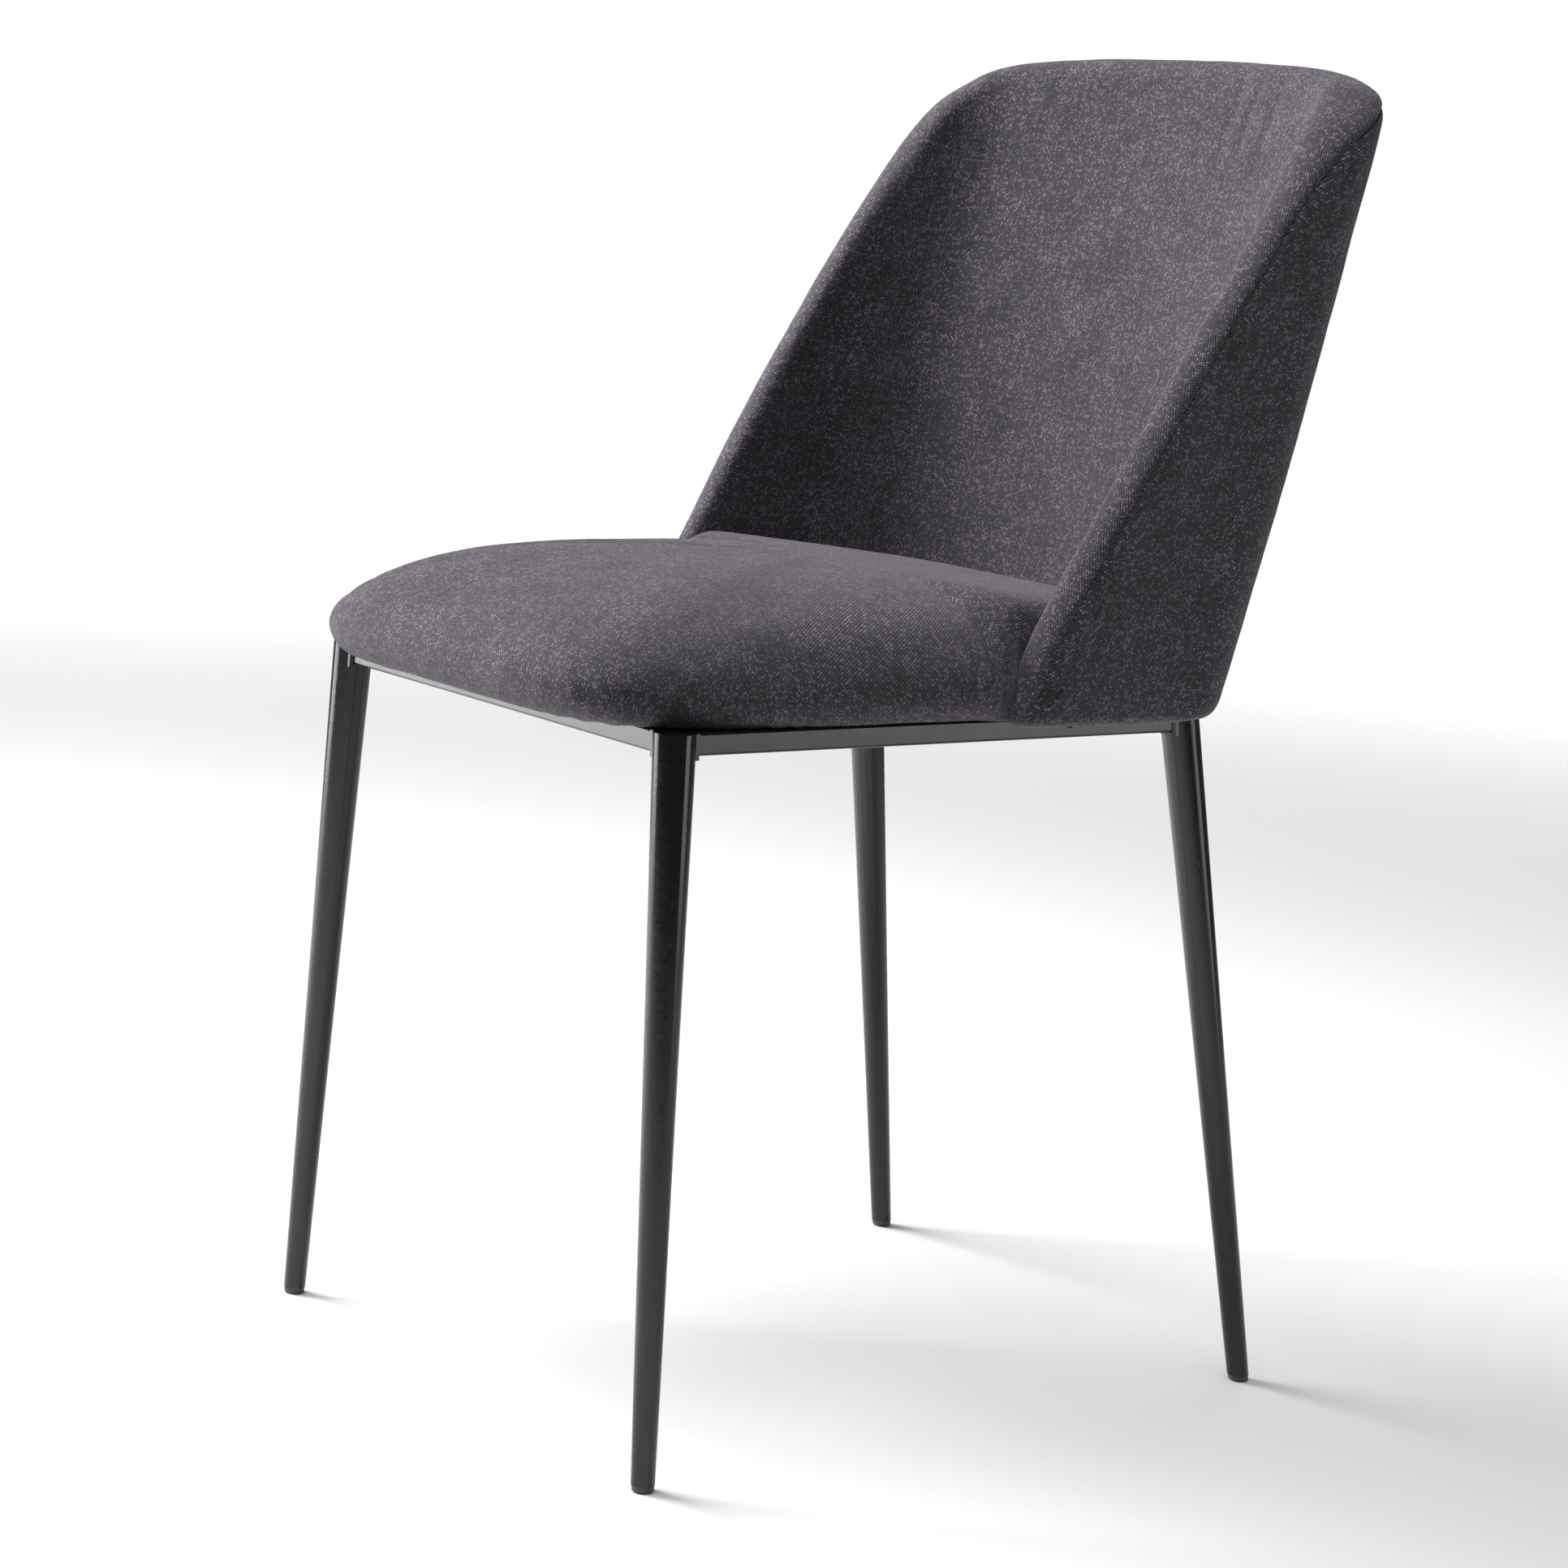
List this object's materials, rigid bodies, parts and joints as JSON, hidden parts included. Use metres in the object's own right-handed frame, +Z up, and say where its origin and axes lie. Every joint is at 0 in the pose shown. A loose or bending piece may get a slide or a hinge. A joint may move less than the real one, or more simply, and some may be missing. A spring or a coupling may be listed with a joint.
{
  "type": "dining chair",
  "caption": "Armless dining chair with a raked wrap-around fabric back, a crowned fabric seat and a welded black steel frame on slim tapered legs.",
  "frame": {"origin": "on the floor, at the middle of the chair's overall width and depth", "axes": "+X to the sitter's left, +Y to the rear, +Z up; the sitter faces -Y"},
  "size_m": [0.4272, 0.5805, 0.8319],
  "materials": {
    "black_paint": "gloss",
    "glide_plastic": "satin",
    "zinc_steel": "satin",
    "plywood": "matt",
    "foam": "matt",
    "grey_fabric": "matt",
    "dust_fabric": "matt"
  },
  "bodies": {
    "root": {"front_left_leg": "black_paint", "front_right_leg": "black_paint", "rear_left_leg": "black_paint", "rear_right_leg": "black_paint", "front_left_leg_cap": "black_paint", "front_right_leg_cap": "black_paint", "rear_left_leg_cap": "black_paint", "rear_right_leg_cap": "black_paint", "front_rail": "black_paint", "rear_rail": "black_paint", "left_side_rail": "black_paint", "right_side_rail": "black_paint", "weld_beads": "black_paint", "front_left_corner_plate": "black_paint", "front_right_corner_plate": "black_paint", "rear_left_corner_plate": "black_paint", "rear_right_corner_plate": "black_paint", "back_bracket_left": "black_paint", "back_bracket_right": "black_paint", "back_bracket_rear": "black_paint", "front_left_glide": "glide_plastic", "front_right_glide": "glide_plastic", "rear_left_glide": "glide_plastic", "rear_right_glide": "glide_plastic", "seat_bolts": "zinc_steel", "seat_washers": "zinc_steel", "seat_t_nuts": "zinc_steel", "back_screws": "zinc_steel", "seat_board": "plywood", "back_core": "plywood", "seat_foam": "foam", "back_inner_foam": "foam", "back_outer_foam": "foam", "seat_cover": "grey_fabric", "back_front_cover": "grey_fabric", "back_rear_cover": "grey_fabric", "seat_dust_cover": "dust_fabric"}
  },
  "joints": []
}
